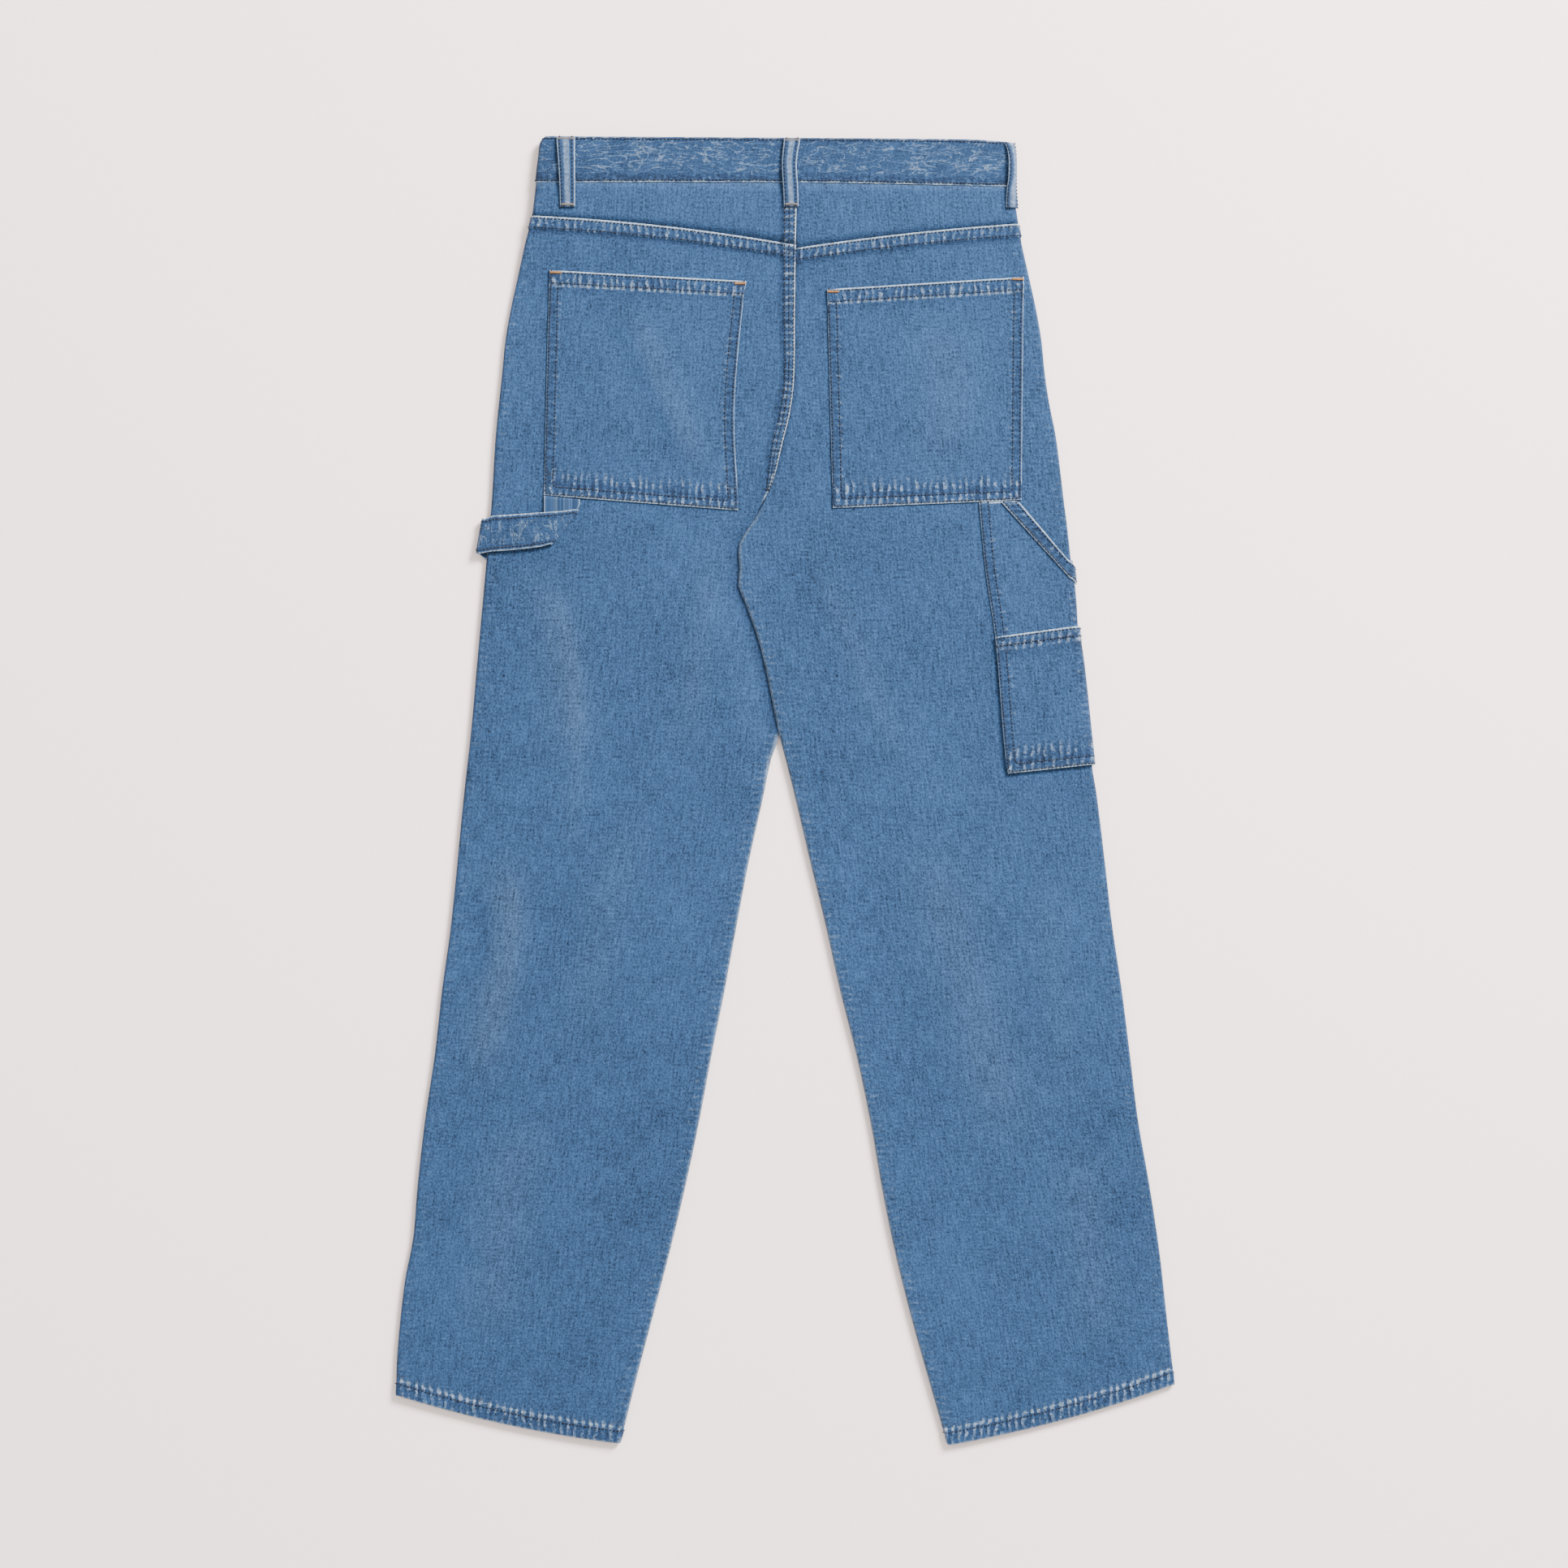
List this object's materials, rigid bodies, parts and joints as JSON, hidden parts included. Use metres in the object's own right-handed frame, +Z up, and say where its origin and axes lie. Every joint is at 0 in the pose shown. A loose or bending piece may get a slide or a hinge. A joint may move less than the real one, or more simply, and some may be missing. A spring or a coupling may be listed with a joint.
{
  "type": "carpenter pants",
  "caption": "Denim work trousers lying flat with the back up: patch pockets, tool pocket, hammer loop and belt loops.",
  "frame": {"origin": "centre of the outline's box, on the surface the garment lies on", "axes": "+Y towards the waist, +X towards the leg with the tool pocket, +Z up from the surface"},
  "size_m": [0.6426, 1.078, 0.0132],
  "materials": {
    "denim": "washed twill",
    "denim_trim": "washed twill",
    "button": "worn"
  },
  "bodies": {
    "root": {"waistband": "denim", "yoke_left": "denim", "yoke_right": "denim", "back_left": "denim", "back_right": "denim", "front_left": "denim", "front_right": "denim", "back_pocket_left": "denim", "back_pocket_right": "denim", "tool_pocket_upper": "denim", "tool_pocket_lower": "denim", "tool_pocket_band": "denim", "hammer_loop": "denim_trim", "belt_loop_back_left": "denim_trim", "belt_loop_centre": "denim_trim", "belt_loop_back_right": "denim_trim", "belt_loop_front_left": "denim_trim", "belt_loop_front_right": "denim_trim", "button": "button"}
  },
  "joints": []
}
